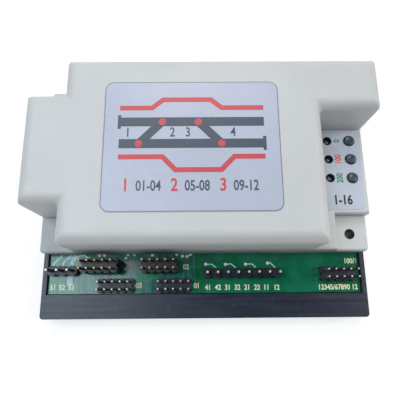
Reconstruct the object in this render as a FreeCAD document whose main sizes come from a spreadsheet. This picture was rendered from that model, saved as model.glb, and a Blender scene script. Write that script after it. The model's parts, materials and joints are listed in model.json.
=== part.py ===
# Railway layout controller: a moulded tray with a circuit board, a stepped cover over the rear of the
# board, open pin headers on its front strip, and three sprung push buttons with indicator lamps.
# Millimetres. +Z is up, -Y is the front, and the origin is the centre of the footprint at the feet.
import FreeCAD, Part
import math
import os
import re
import Sketcher

doc = FreeCAD.newDocument("controller")
sheet = doc.addObject("Spreadsheet::Sheet", "sizes")

SIZES = [
    # case
    ("case_width", 114.0),
    ("case_depth", 83.0),
    ("ledge_top", 9.0),
    ("foot_drop", 0.8),
    ("tray_floor", 2.0),
    ("rim_wall", 1.5),
    ("ledge_depth", 8.2),
    ("ledge_wall", 2.0),
    ("ledge_rib", 1.2),
    ("ledge_core_count", 11),
    ("cover_clearance", 1.91),
    ("cover_wall", 2.0),
    ("flange_rise", 5.3),
    ("panel_rise", 9.4),
    ("cover_rise", 28.2),
    ("edge_round", 3.6),
    ("corner_round", 1.2),
    ("panel_round", 0.9),
    ("apron_gap", 0.3),
    ("wing_length", 12.25),
    ("wing_room", 1.75),
    ("wing_setback", 12.25),
    ("panel_width", 19.7),
    ("rear_block_depth", 17.7),
    ("pocket_depth", 12.35),
    ("pocket_width", 12.0),
    # board
    ("board_thick", 1.6),
    ("board_drop", 1.4),
    ("board_gap", 0.3),
    # bosses, screws and feet
    ("mount_inset_side", 6.3),
    ("mount_inset_front", 5.8),
    ("mount_inset_rear", 6.0),
    ("mount_radius", 1.8),
    ("mount_boss_radius", 3.6),
    ("mount_boss_step", 0.6),
    ("boss_radius", 3.4),
    ("boss_spread", 0.8),
    ("boss_gap", 0.2),
    ("screw_inset_side", 17.0),
    ("screw_inset_front", 5.9),
    ("screw_inset_rear", 6.0),
    ("screw_inset_right", 26.0),
    ("screw_radius", 1.45),
    ("screw_fit", 0.05),
    ("screw_bite", 8.0),
    ("screw_point", 1.4),
    ("screw_head_radius", 2.8),
    ("screw_head_height", 1.8),
    ("head_gap", 0.2),
    ("slot_width", 0.7),
    ("slot_length", 3.0),
    ("foot_radius", 4.0),
    ("foot_recess", 0.4),
    ("foot_inset_side", 12.0),
    ("foot_inset_front", 8.0),
    ("foot_inset_rear", 16.0),
    # labels
    ("label_thick", 0.2),
    ("label_round", 2.8),
    ("panel_label_round", 1.4),
    ("label_width", 54.8),
    ("label_depth", 42.5),
    ("label_inset_left", 13.4),
    ("label_inset_front", 9.2),
    ("panel_label_edge", 1.3),
    # buttons, switches and lamps
    ("button_count", 3),
    ("button_setback", 4.25),
    ("button_radius", 1.75),
    ("button_proud", 1.1),
    ("button_gap", 0.25),
    ("button_lip", 0.45),
    ("button_bevel", 0.25),
    ("button_flange_height", 1.1),
    ("switch_side", 5.8),
    ("switch_gap", 0.05),
    ("switch_spacing", 0.5),
    ("switch_height", 3.3),
    ("flange_gap", 0.2),
    ("switch_floor", 1.0),
    ("switch_plate", 0.2),
    ("terminal_spread", 2.0),
    ("terminal_width", 0.7),
    ("terminal_thick", 0.3),
    ("plunger_fit", 0.05),
    ("plunger_stop_gap", 0.3),
    ("dome_margin", 0.3),
    ("dome_height", 0.3),
    ("dome_thick", 0.1),
    ("lamp_inset", 12.7),
    ("lamp_radius", 1.45),
    ("lamp_gap", 0.15),
    ("lamp_collar_height", 0.9),
    ("lamp_collar_reach", 0.4),
    ("lamp_height", 4.6),
    ("lamp_recess", 0.8),
    ("lead_width", 0.5),
    ("lead_pitch", 2.54),
    # pin headers
    ("pin_pitch", 2.54),
    ("pin_width", 0.64),
    ("pin_tip", 0.5),
    ("pin_below", 1.0),
    ("pin_above", 6.0),
    ("pin_above_tall", 6.6),
    ("base_height", 2.54),
    ("tall_base_height", 8.5),
    ("header_columns", 5),
    ("header_step", 20.4),
    ("front_header_inset", 20.8),
    ("front_header_gap", 0.11),
    ("rear_header_shift", 4.7),
    ("header_row_gap", 1.57),
    ("sensor_inset", 9.9),
    ("sensor_row", 6.3),
    ("wide_pitch", 3.5),
    ("wide_pin_width", 0.9),
    ("wide_base_radius", 1.8),
    ("wide_base_height", 3.0),
    ("wide_pin_above", 6.2),
    ("wide_spine", 2.4),
    ("output_count", 8),
    ("output_inset", 57.9),
    ("output_row", 6.8),
    ("feed_count", 3),
    ("feed_inset", 3.65),
    ("feed_row", 7.9),
    # sockets
    ("jack_gap", 0.3),
    ("jack_width", 13.2),
    ("jack_length", 18.0),
    ("jack_height", 12.9),
    ("jack_spacing", 2.2),
    ("socket_width", 9.8),
    ("socket_height", 6.8),
    ("socket_depth", 12.5),
    ("socket_rise", 2.9),
    ("latch_width", 4.2),
    ("latch_drop", 1.9),
    ("latch_depth", 8.75),
    ("window_margin", 1.0),
    ("window_drop", 0.4),
    ("contact_count", 6),
    ("contact_pitch", 1.02),
    ("contact_width", 0.45),
    ("contact_length", 9.0),
    ("supply_setback", 10.2),
    ("supply_length", 14.0),
    ("supply_width", 9.0),
    ("supply_height", 11.0),
    ("supply_rise", 6.4),
    ("supply_bore_radius", 3.2),
    ("supply_bore_depth", 9.5),
    ("supply_pin_radius", 1.0),
    ("supply_pin_setback", 0.6),
    ("supply_hole_radius", 4.2),
    # parts on the board under the cover
    ("processor_length", 35.6),
    ("processor_width", 7.4),
    ("chip_height", 3.3),
    ("chip_lift", 0.6),
    ("chip_gap", 1.4),
    ("chip_lead_thick", 0.3),
    ("notch_radius", 0.9),
    ("notch_depth", 0.5),
    ("processor_leads_per_side", 14),
    ("driver_length", 9.8),
    ("driver_width", 6.4),
    ("driver_count", 4),
    ("driver_step", 14.5),
    ("driver_leads_per_side", 4),
    ("chip_row_setback", 12.0),
    ("chip_row_step", 14.0),
    ("capacitor_radius", 6.4),
    ("capacitor_height", 21.0),
    ("capacitor_bevel", 0.8),
    ("capacitor_step", 15.5),
    ("capacitor_inset", 2.4),
    ("capacitor_setback", 18.0),
    ("sink_inset", 32.0),
    ("sink_gap", 3.0),
    ("sink_width", 22.0),
    ("sink_depth", 9.0),
    ("sink_height", 19.0),
    ("sink_plate", 2.0),
    ("sink_fin", 1.2),
    ("sink_fins", 6),
    ("tab_width", 10.0),
    ("tab_height", 15.2),
    ("tab_thick", 1.3),
    ("regulator_lift", 3.0),
    ("regulator_height", 9.2),
    ("regulator_thick", 3.2),
    ("regulator_lead_gap", 1.3),
    ("sink_screw_end", 1.6),
    ("bridge_length", 15.0),
    ("bridge_thick", 4.6),
    ("bridge_height", 11.0),
    ("crystal_length", 11.0),
    ("crystal_width", 4.6),
    ("crystal_height", 3.6),
    ("resistor_length", 3.2),
    ("resistor_width", 1.6),
    ("resistor_height", 0.6),
    ("resistor_step", 5.6),
    ("resistor_count", 8),
]

for row, (alias, value) in enumerate(SIZES, 1):
    sheet.set("A%d" % row, alias)
    sheet.set("B%d" % row, str(value))
    sheet.setAlias("B%d" % row, alias)
doc.recompute()


def size(alias):
    """The number that the sheet holds under this alias."""
    return float(sheet.get(alias))


def worked_out(text):
    """An expression over the sheet's aliases, with each alias written as sizes.alias."""
    aliases = dict(SIZES)
    return re.sub("[a-z][a-z_]*[a-z]",
                  lambda word: "sizes." + word.group() if word.group() in aliases else word.group(),
                  text)


def bind(thing, member, text):
    """Ties one property of an object to an expression over the sheet."""
    thing.setExpression(member, worked_out(str(text)))


def number(text):
    """The present value of an expression over the sheet."""
    return float(sheet.evalExpression(str(text)))


# Levels and lines that several pieces share, as expressions over the sheet.
RIGHT = "(case_width / 2)"
LEFT = "(-case_width / 2)"
FRONT = "(-case_depth / 2)"
REAR = "(case_depth / 2)"
STRIP_FRONT = "(-case_depth / 2 + ledge_depth)"
STRIP_DEPTH = "(board_gap + front_header_gap + 4 * pin_pitch + header_row_gap + cover_clearance)"
COVER_FRONT = "(-case_depth / 2 + ledge_depth + %s)" % STRIP_DEPTH
BOARD_TOP = "(ledge_top - board_drop)"
BOARD_UNDER = "(ledge_top - board_drop - board_thick)"
BOARD_FRONT = "(-case_depth / 2 + ledge_depth + board_gap)"
FLANGE_TOP = "(ledge_top + flange_rise)"
PANEL_TOP = "(ledge_top + panel_rise)"
COVER_TOP = "(ledge_top + cover_rise)"
WING_RIGHT = "(-case_width / 2 + wing_length)"
WING_FRONT = COVER_FRONT + " + wing_setback"
PANEL_LEFT = "(case_width / 2 - panel_width)"
PANEL_REAR = "(case_depth / 2 - rear_block_depth)"
POCKET_REAR = "(%s + pocket_depth)" % COVER_FRONT
POCKET_LEFT = "(case_width / 2 - pocket_width)"
SCREW_HOLE = "(screw_radius + screw_fit)"
BUTTON_HOLE = "(button_radius + button_gap)"
BUTTON_FLANGE = "(button_radius + button_lip)"
SWITCH_BORE = "(button_radius + button_lip + flange_gap)"
LAMP_HOLE = "(lamp_radius + lamp_gap)"
BUTTON_PITCH = "(switch_side + 2 * terminal_thick + switch_spacing)"
JACK_STEP = "(jack_width + jack_spacing)"
WING_WIDTH = "(2 * jack_width + jack_spacing + 2 * wing_room + 2 * cover_wall)"
WING_REAR = COVER_FRONT + " + wing_setback + " + WING_WIDTH
FRONT_ROW = "(-case_depth / 2 + ledge_depth + board_gap + front_header_gap + pin_pitch)"
REAR_ROW = FRONT_ROW + " + 2 * pin_pitch + header_row_gap"
CHIP_ROW = COVER_FRONT + " + chip_row_setback"
CAPACITOR_REAR = "(case_depth / 2 - capacitor_setback)"
PROCESSOR_LEFT = "(-case_width / 2 + cover_wall + jack_gap + jack_length + chip_gap)"

MOUNT_PLACES = [
    ("case_width / 2 - mount_inset_side", COVER_FRONT + " + mount_inset_front"),
    ("-case_width / 2 + mount_inset_side", "case_depth / 2 - mount_inset_rear"),
]
SCREW_PLACES = [
    ("-case_width / 2 + screw_inset_side", COVER_FRONT + " + screw_inset_front"),
    ("case_width / 2 - screw_inset_right", COVER_FRONT + " + screw_inset_front"),
    ("-case_width / 2 + screw_inset_side", "case_depth / 2 - screw_inset_rear"),
    ("case_width / 2 - screw_inset_right", "case_depth / 2 - screw_inset_rear"),
]


def box(name, low, high):
    """A block between two corners given as expressions."""
    block = doc.addObject("Part::Box", name)
    for side, place, start, end in zip(("Length", "Width", "Height"), "xyz", low, high):
        bind(block, side, "(%s) - (%s)" % (end, start))
        bind(block, "Placement.Base." + place, start)
    return block


def cylinder(name, centre, start, end, radius):
    """An upright round bar."""
    bar = doc.addObject("Part::Cylinder", name)
    bind(bar, "Radius", radius)
    bind(bar, "Height", "(%s) - (%s)" % (end, start))
    for place, text in zip("xyz", (centre[0], centre[1], start)):
        bind(bar, "Placement.Base." + place, text)
    return bar


def bar_along_x(name, start, end, y, z, radius):
    """A round bar lying along X."""
    bar = doc.addObject("Part::Cylinder", name)
    bar.Placement.Rotation = FreeCAD.Rotation(FreeCAD.Vector(0, 1, 0), 90)
    bind(bar, "Radius", radius)
    bind(bar, "Height", "(%s) - (%s)" % (end, start))
    for place, text in zip("xyz", (start, y, z)):
        bind(bar, "Placement.Base." + place, text)
    return bar


def bar_along_y(name, start, end, x, z, radius):
    """A round bar lying along Y."""
    bar = doc.addObject("Part::Cylinder", name)
    bar.Placement.Rotation = FreeCAD.Rotation(FreeCAD.Vector(1, 0, 0), -90)
    bind(bar, "Radius", radius)
    bind(bar, "Height", "(%s) - (%s)" % (end, start))
    for place, text in zip("xyz", (x, start, z)):
        bind(bar, "Placement.Base." + place, text)
    return bar


def cone(name, centre, start, end, radius_low, radius_high):
    """An upright tapered bar."""
    bar = doc.addObject("Part::Cone", name)
    bind(bar, "Radius1", radius_low)
    bind(bar, "Radius2", radius_high)
    bind(bar, "Height", "(%s) - (%s)" % (end, start))
    for place, text in zip("xyz", (centre[0], centre[1], start)):
        bind(bar, "Placement.Base." + place, text)
    return bar


def fuse(name, pieces):
    """One solid from pieces that meet."""
    joined = doc.addObject("Part::MultiFuse", name)
    joined.Shapes = pieces
    joined.Refine = True
    return joined


def cut(name, base, tools):
    """The base with every tool taken out of it."""
    taken = doc.addObject("Part::Cut", name)
    taken.Base = base
    taken.Tool = tools[0] if len(tools) == 1 else fuse(name + "_tools", tools)
    taken.Refine = True
    return taken


def group(name, pieces):
    """Several separate solids kept in one node."""
    together = doc.addObject("Part::Compound", name)
    together.Links = pieces
    return together


nodes = []


def node(thing, label):
    """Names a finished sub-part."""
    thing.Label = label
    nodes.append(thing)
    return thing


def origin_plane(body, role):
    """One of a body's own origin planes."""
    return next(item for item in body.Origin.OriginFeatures if item.Role == role)


def outline(body, name, corners, level):
    """A closed straight-sided sketch at a level above the body's own XY plane."""
    sketch = body.newObject("Sketcher::SketchObject", name)
    sketch.AttachmentSupport = [(origin_plane(body, "XY_Plane"), "")]
    sketch.MapMode = "FlatFace"
    bind(sketch, "AttachmentOffset.Base.z", level)
    points = [FreeCAD.Vector(number(x), number(y), 0) for x, y in corners]
    last = len(points) - 1
    for place, point in enumerate(points):
        following = points[0 if place == last else place + 1]
        sketch.addGeometry(Part.LineSegment(point, following), False)
    for place in range(len(points)):
        following = 0 if place == last else place + 1
        sketch.addConstraint(Sketcher.Constraint("Coincident", place, 2, following, 1))
    for place, (x, y) in enumerate(corners):
        for kind, text, value in (("DistanceX", x, points[place].x), ("DistanceY", y, points[place].y)):
            which = sketch.addConstraint(Sketcher.Constraint(kind, -1, 1, place, 1, value))
            bind(sketch, "Constraints[%d]" % which, text)
    return sketch


def rectangle(left, right, front, rear):
    """Four corners in order."""
    return [(left, front), (right, front), (right, rear), (left, rear)]


def pad(body, name, corners, level, top):
    """A straight-sided block raised from one level to another."""
    sketch = outline(body, name + "_outline", corners, level)
    raised = body.newObject("PartDesign::Pad", name)
    raised.Profile = sketch
    bind(raised, "Length", "(%s) - (%s)" % (top, level))
    doc.recompute()
    return raised


def edges_where(feature, wanted):
    """Names of the straight edges whose two ends pass a test."""
    names = []
    for place, edge in enumerate(feature.Shape.Edges, 1):
        ends = [vertex.Point for vertex in edge.Vertexes]
        if len(ends) == 2 and wanted(ends[0], ends[1]):
            names.append("Edge%d" % place)
    return names


def rounded(body, feature, name, wanted, radius):
    """Rounds the edges of a feature that pass a test."""
    fillet = body.newObject("PartDesign::Fillet", name)
    fillet.Base = (feature, edges_where(feature, wanted))
    bind(fillet, "Radius", radius)
    doc.recompute()
    return fillet


def at_level(level):
    """A test for edges that lie at one height."""
    height = number(level)
    return lambda a, b: abs(a.z - height) < 1e-6 and abs(b.z - height) < 1e-6


def upright(low, high):
    """A test for upright edges that run within two heights."""
    bottom = number(low) - 1e-6
    top = number(high) + 1e-6

    def test(a, b):
        vertical = math.hypot(a.x - b.x, a.y - b.y) < 1e-6
        return vertical and min(a.z, b.z) > bottom and max(a.z, b.z) < top
    return test


def base_tray():
    """The black moulded tray: floor, rim, front ledge, bosses, foot recesses."""
    body = doc.addObject("PartDesign::Body", "tray_block")
    corners = rectangle(LEFT, RIGHT, FRONT, REAR)
    block = pad(body, "tray_solid", corners, "foot_drop", "ledge_top")
    block = rounded(body, block, "tray_corners", upright("foot_drop", "ledge_top"), "corner_round")
    hollow = box("tray_hollow", (LEFT + " + rim_wall", STRIP_FRONT, "foot_drop + tray_floor"),
                 (RIGHT + " - rim_wall", REAR + " - rim_wall", "ledge_top + 1"))
    tray = cut("tray_open", body, [hollow] + ledge_cores())
    bosses = []
    for place, centre in enumerate(MOUNT_PLACES):
        bosses.append(cylinder("tray_mount_boss_%d" % place, centre, "foot_drop + tray_floor / 2",
                               BOARD_UNDER, "mount_boss_radius + mount_boss_step"))
        bosses.append(cylinder("tray_mount_spigot_%d" % place, centre, "foot_drop + tray_floor / 2",
                               BOARD_TOP, "mount_boss_radius - mount_boss_step"))
    for place, centre in enumerate(SCREW_PLACES):
        bosses.append(cylinder("tray_screw_boss_%d" % place, centre, "foot_drop + tray_floor / 2",
                               BOARD_UNDER, "boss_radius + boss_spread"))
    tray = fuse("tray_bossed", [tray] + bosses)
    holes = []
    for place, centre in enumerate(MOUNT_PLACES):
        holes.append(cylinder("tray_mount_hole_%d" % place, centre, "0", "ledge_top", "mount_radius"))
    for place, centre in enumerate(SCREW_PLACES):
        holes.append(cylinder("tray_screw_hole_%d" % place, centre, "0", "ledge_top",
                              SCREW_HOLE))
        holes.append(cylinder("tray_head_recess_%d" % place, centre, "0",
                              "foot_drop + head_gap + screw_head_height",
                              "screw_head_radius + head_gap"))
    for place, centre in enumerate(foot_places()):
        holes.append(cylinder("tray_foot_recess_%d" % place, centre, "0", "foot_drop + foot_recess",
                              "foot_radius"))
    node(cut("tray", tray, holes), "base_tray")


def ledge_cores():
    """Pockets under the front ledge that keep its section thin, between cross ribs."""
    count = int(size("ledge_core_count"))
    cores = []
    for place in range(count):
        line = "%s + rim_wall + %d * (case_width - 2 * rim_wall) / ledge_core_count %s ledge_rib / 2"
        cores.append(box("ledge_core_%d" % place,
                         (line % (LEFT, place, "+"), FRONT + " + ledge_wall", "0"),
                         (line % (LEFT, place + 1, "-"), STRIP_FRONT + " - rim_wall",
                          "ledge_top - tray_floor")))
    return cores


def foot_places():
    """Centres of the four feet."""
    return [(x, y) for x in (LEFT + " + foot_inset_side", RIGHT + " - foot_inset_side")
            for y in (STRIP_FRONT + " + foot_inset_front", REAR + " - foot_inset_rear")]


def rubber_feet():
    """Four soft discs in the tray's recesses."""
    feet = [cylinder("foot_%d" % place, centre, "0", "foot_drop + foot_recess", "foot_radius")
            for place, centre in enumerate(foot_places())]
    node(group("feet", feet), "rubber_feet")


def cover_plan():
    """Plan of the cover's full-height block: main part, left wing and right rear block."""
    return [(WING_RIGHT, COVER_FRONT), (PANEL_LEFT, COVER_FRONT), (PANEL_LEFT, PANEL_REAR),
            (RIGHT, PANEL_REAR), (RIGHT, REAR), (WING_RIGHT, REAR), (WING_RIGHT, WING_REAR),
            (LEFT, WING_REAR), (LEFT, WING_FRONT), (WING_RIGHT, WING_FRONT)]


def panel_plan():
    """Plan of the lower button panel and its shelf beside the corner pocket."""
    inner = PANEL_LEFT + " - edge_round"
    return [(inner, COVER_FRONT), (POCKET_LEFT, COVER_FRONT), (POCKET_LEFT, POCKET_REAR),
            (RIGHT, POCKET_REAR), (RIGHT, PANEL_REAR + " + edge_round"),
            (inner, PANEL_REAR + " + edge_round")]


def cover_outside():
    """The cover's outer form, solid, made of three stepped and rounded blocks."""
    high = doc.addObject("PartDesign::Body", "cover_high")
    block = pad(high, "high_solid", cover_plan(), "ledge_top", COVER_TOP)
    block = rounded(high, block, "high_top_edges", at_level(COVER_TOP), "edge_round")
    rounded(high, block, "high_corners", upright("ledge_top", COVER_TOP), "corner_round")
    panel = doc.addObject("PartDesign::Body", "cover_panel")
    block = pad(panel, "panel_solid", panel_plan(), "ledge_top", PANEL_TOP)
    block = rounded(panel, block, "panel_top_edges", at_level(PANEL_TOP), "panel_round")
    skirt = doc.addObject("PartDesign::Body", "cover_skirt")
    corners = rectangle(LEFT, RIGHT, COVER_FRONT, REAR)
    block = pad(skirt, "skirt_solid", corners, "ledge_top", FLANGE_TOP)
    block = rounded(skirt, block, "skirt_corners", upright("ledge_top", FLANGE_TOP), "corner_round")
    rounded(skirt, block, "skirt_top_edges", at_level(FLANGE_TOP), "panel_round")
    apron = box("cover_apron",
                (LEFT + " + rim_wall + board_gap", COVER_FRONT, BOARD_TOP + " + apron_gap"),
                (RIGHT + " - rim_wall - board_gap", COVER_FRONT + " + cover_wall", "ledge_top + 1"))
    return fuse("cover_outside", [high, panel, skirt, apron])


def cover_hollows():
    """The room inside the cover, a wall thickness in from each outer block."""
    low = BOARD_TOP
    roof = COVER_TOP + " - cover_wall"
    panel_roof = PANEL_TOP + " - cover_wall"
    inner_front = COVER_FRONT + " + cover_wall"
    inner_left = WING_RIGHT + " + cover_wall"
    inner_right = PANEL_LEFT + " - cover_wall"
    return [
        box("hollow_main", (inner_left, inner_front, low), (inner_right, REAR + " - cover_wall", roof)),
        box("hollow_wing", (LEFT + " + cover_wall", WING_FRONT + " + cover_wall", low),
            (inner_left, WING_REAR + " - cover_wall", roof)),
        box("hollow_rear_block", (inner_right, PANEL_REAR + " + cover_wall", low),
            (RIGHT + " - cover_wall", REAR + " - cover_wall", roof)),
        box("hollow_panel", (inner_right, POCKET_REAR + " + cover_wall", low),
            (RIGHT + " - cover_wall", PANEL_REAR + " + cover_wall", panel_roof)),
        box("hollow_shelf", (inner_right, inner_front, low),
            (POCKET_LEFT + " - cover_wall", POCKET_REAR + " + cover_wall", panel_roof)),
        box("hollow_flange", (LEFT + " + cover_wall", inner_front, low),
            (RIGHT + " - cover_wall", REAR + " - cover_wall", FLANGE_TOP + " - cover_wall")),
    ]


def button_places():
    """Centres of the buttons, rear to front, with the lamp beside each."""
    places = []
    for place in range(int(size("button_count"))):
        y = "%s - button_setback - %d * %s" % (PANEL_REAR, place, BUTTON_PITCH)
        x = RIGHT + " - cover_wall - switch_gap - switch_side / 2"
        places.append(((x, y), (RIGHT + " - lamp_inset", y)))
    return places


def jack_centres():
    """Middle lines of the two network sockets in the wing."""
    middle = WING_FRONT + " + %s / 2" % WING_WIDTH
    return ["%s + %s * %s / 2" % (middle, side, JACK_STEP) for side in ("-1", "1")]


def cover_openings():
    """Holes in the cover for mounting screws, buttons, lamps and sockets."""
    holes = []
    for place, centre in enumerate(MOUNT_PLACES):
        holes.append(cylinder("cover_mount_hole_%d" % place, centre, "0", PANEL_TOP, "mount_radius"))
    for place, centre in enumerate(SCREW_PLACES):
        holes.append(cylinder("cover_screw_hole_%d" % place, centre, "0",
                              BOARD_TOP + " + screw_bite + 1", SCREW_HOLE))
    for place, (button, lamp) in enumerate(button_places()):
        top = PANEL_TOP + " + 1"
        holes.append(cylinder("button_hole_%d" % place, button, BOARD_TOP, top, BUTTON_HOLE))
        holes.append(cylinder("lamp_hole_%d" % place, lamp, BOARD_TOP, top, LAMP_HOLE))
    for place, middle in enumerate(jack_centres()):
        low = BOARD_TOP + " + socket_rise - latch_drop - window_drop"
        high = BOARD_TOP + " + socket_rise + socket_height + window_margin"
        holes.append(box("jack_window_%d" % place,
                         (LEFT + " - 1", middle + " - socket_width / 2 - window_margin", low),
                         (LEFT + " + cover_wall + 0.1", middle + " + socket_width / 2 + window_margin",
                          high)))
    holes.append(bar_along_x("supply_window", RIGHT + " - cover_wall - 0.1", RIGHT + " + 1",
                             REAR + " - supply_setback", BOARD_TOP + " + supply_rise",
                             "supply_hole_radius"))
    return holes


def top_cover():
    """The pale moulded cover: stepped shell, screw posts and openings."""
    shell = cut("cover_shell", cover_outside(), cover_hollows())
    posts = []
    for place, centre in enumerate(MOUNT_PLACES):
        posts.append(cylinder("cover_mount_post_%d" % place, centre, BOARD_TOP + " + boss_gap",
                              FLANGE_TOP + " - cover_wall / 2", "mount_boss_radius"))
    for place, centre in enumerate(SCREW_PLACES):
        posts.append(cylinder("cover_screw_post_%d" % place, centre, BOARD_TOP + " + boss_gap",
                              COVER_TOP + " - cover_wall / 2", "boss_radius"))
    shell = fuse("cover_posts", [shell] + posts)
    node(cut("cover", shell, cover_openings()), "top_cover")


def cover_screws():
    """Four self-tapping screws from under the tray into the cover's posts."""
    screws = []
    seat = "foot_drop + head_gap"
    for place, centre in enumerate(SCREW_PLACES):
        head = cylinder("screw_head_%d" % place, centre, seat, seat + " + screw_head_height",
                        "screw_head_radius")
        shank = cylinder("screw_shank_%d" % place, centre, seat + " + screw_head_height / 2",
                         BOARD_TOP + " + screw_bite - screw_point", "screw_radius")
        point = cone("screw_tip_%d" % place, centre, BOARD_TOP + " + screw_bite - screw_point",
                     BOARD_TOP + " + screw_bite", "screw_radius", "screw_radius / 3")
        whole = fuse("screw_whole_%d" % place, [head, shank, point])
        slots = [box("screw_slot_%d_%d" % (place, way),
                     (centre[0] + " - " + across, centre[1] + " - " + along, seat + " - 1"),
                     (centre[0] + " + " + across, centre[1] + " + " + along, seat + " + 1"))
                 for way, (across, along) in enumerate((("slot_width / 2", "slot_length / 2"),
                                                        ("slot_length / 2", "slot_width / 2")))]
        screws.append(cut("screw_%d" % place, whole, slots))
    node(group("screws", screws), "cover_screws")


def rounded_sheet(name, corners, level, radius):
    """A thin label with rounded corners."""
    body = doc.addObject("PartDesign::Body", name + "_body")
    sheet_pad = pad(body, name + "_sheet", corners, level, "(%s) + label_thick" % level)
    rounded(body, sheet_pad, name + "_round", upright(level, "(%s) + label_thick" % level), radius)
    return body


def labels():
    """The printed label on the roof and the one on the button panel."""
    left = WING_RIGHT + " + label_inset_left"
    front = COVER_FRONT + " + label_inset_front"
    corners = rectangle(left, left + " + label_width", front, front + " + label_depth")
    node(rounded_sheet("roof", corners, COVER_TOP, "label_round"), "top_label")
    corners = rectangle(PANEL_LEFT + " + 0.1", RIGHT + " - panel_label_edge",
                        POCKET_REAR + " + panel_label_edge", PANEL_REAR + " - 0.3")
    plain = rounded_sheet("panel", corners, PANEL_TOP, "panel_label_round")
    holes = []
    for place, (button, lamp) in enumerate(button_places()):
        top = PANEL_TOP + " + 1"
        holes.append(cylinder("label_button_hole_%d" % place, button, PANEL_TOP + " - 1", top,
                              BUTTON_HOLE))
        holes.append(cylinder("label_lamp_hole_%d" % place, lamp, PANEL_TOP + " - 1", top,
                              LAMP_HOLE))
    node(cut("panel_sheet", plain, holes), "panel_label")


def push_switches():
    """Each button: tall plunger, switch housing, metal plate and snap dome."""
    terminals = []
    for place, (centre, _) in enumerate(button_places(), 1):
        x, y = centre
        top = BOARD_TOP + " + switch_height"
        block = box("switch_block_%d" % place,
                    (x + " - switch_side / 2", y + " - switch_side / 2", BOARD_TOP),
                    (x + " + switch_side / 2", y + " + switch_side / 2", top))
        bore = cylinder("switch_bore_%d" % place, centre, BOARD_TOP + " + switch_floor", top + " + 1",
                        SWITCH_BORE)
        node(cut("switch_%d" % place, block, [bore]), "switch_housing_%d" % place)
        plate = box("plate_block_%d" % place,
                    (x + " - switch_side / 2", y + " - switch_side / 2", top),
                    (x + " + switch_side / 2", y + " + switch_side / 2", top + " + switch_plate"))
        hole = cylinder("plate_hole_%d" % place, centre, top + " - 1", top + " + 1",
                        "button_radius + plunger_fit")
        node(cut("plate_%d" % place, plate, [hole]), "switch_plate_%d" % place)
        node(snap_dome(place, centre), "snap_dome_%d" % place)
        node(plunger(place, centre, top), "push_button_%d" % place)
        terminals.extend(switch_terminals(place, centre))
    node(group("terminals", terminals), "switch_terminals")


def snap_dome(place, centre):
    """The pressed metal disc that clicks under the plunger."""
    floor = BOARD_TOP + " + switch_floor"
    wide = SWITCH_BORE + " - dome_margin"
    narrow = "(%s) / 2" % wide
    outer = cone("dome_outer_%d" % place, centre, floor, floor + " + dome_height", wide, narrow)
    inner = cone("dome_inner_%d" % place, centre, floor + " - dome_thick",
                 floor + " + dome_height - dome_thick", wide, narrow)
    return cut("dome_%d" % place, outer, [inner])


def plunger(place, centre, top):
    """The moving button: retaining flange below the plate and a stem up through the panel."""
    shoulder = top + " - plunger_stop_gap"
    crown = PANEL_TOP + " + button_proud"
    flange = cylinder("button_flange_%d" % place, centre, shoulder + " - button_flange_height",
                      shoulder, BUTTON_FLANGE)
    stem = cylinder("button_stem_%d" % place, centre, shoulder + " - 0.1", crown + " - button_bevel",
                    "button_radius")
    rim = cone("button_rim_%d" % place, centre, crown + " - button_bevel", crown, "button_radius",
               "button_radius - button_bevel")
    return fuse("button_%d" % place, [flange, stem, rim])


def switch_terminals(place, centre):
    """Four flat legs through the board at the switch's front and rear."""
    legs = []
    for way, (along, side) in enumerate(((-1, -1), (-1, 1), (1, -1), (1, 1))):
        x = "%s + %d * terminal_spread" % (centre[0], along)
        y = "%s + %d * (switch_side + terminal_thick) / 2" % (centre[1], side)
        legs.append(box("terminal_%d_%d" % (place, way),
                        (x + " - terminal_width / 2", y + " - terminal_thick / 2",
                         BOARD_UNDER + " - pin_below"),
                        (x + " + terminal_width / 2", y + " + terminal_thick / 2",
                         BOARD_TOP + " + switch_floor")))
    return legs


def lamps():
    """Three indicator lamps standing on wire leads, recessed in the panel."""
    leads = []
    for place, (_, centre) in enumerate(button_places(), 1):
        crown = PANEL_TOP + " - lamp_recess"
        shoulder = crown + " - lamp_radius"
        foot = crown + " - lamp_height"
        barrel = cylinder("lamp_barrel_%d" % place, centre, foot, shoulder, "lamp_radius")
        dome = doc.addObject("Part::Sphere", "lamp_dome_%d" % place)
        bind(dome, "Radius", "lamp_radius")
        for axis, text in zip("xyz", (centre[0], centre[1], shoulder)):
            bind(dome, "Placement.Base." + axis, text)
        collar = cylinder("lamp_collar_%d" % place, centre, foot, foot + " + lamp_collar_height",
                          "lamp_radius + lamp_collar_reach")
        node(fuse("lamp_%d" % place, [barrel, dome, collar]), "status_lamp_%d" % place)
        for side in (-1, 1):
            x = "%s + %d * lead_pitch / 2" % (centre[0], side)
            leads.append(box("lamp_lead_%d_%d" % (place, side + 1),
                             (x + " - lead_width / 2", centre[1] + " - lead_width / 2",
                              BOARD_UNDER + " - pin_below"),
                             (x + " + lead_width / 2", centre[1] + " + lead_width / 2", foot)))
    node(group("leads", leads), "lamp_leads")


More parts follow.
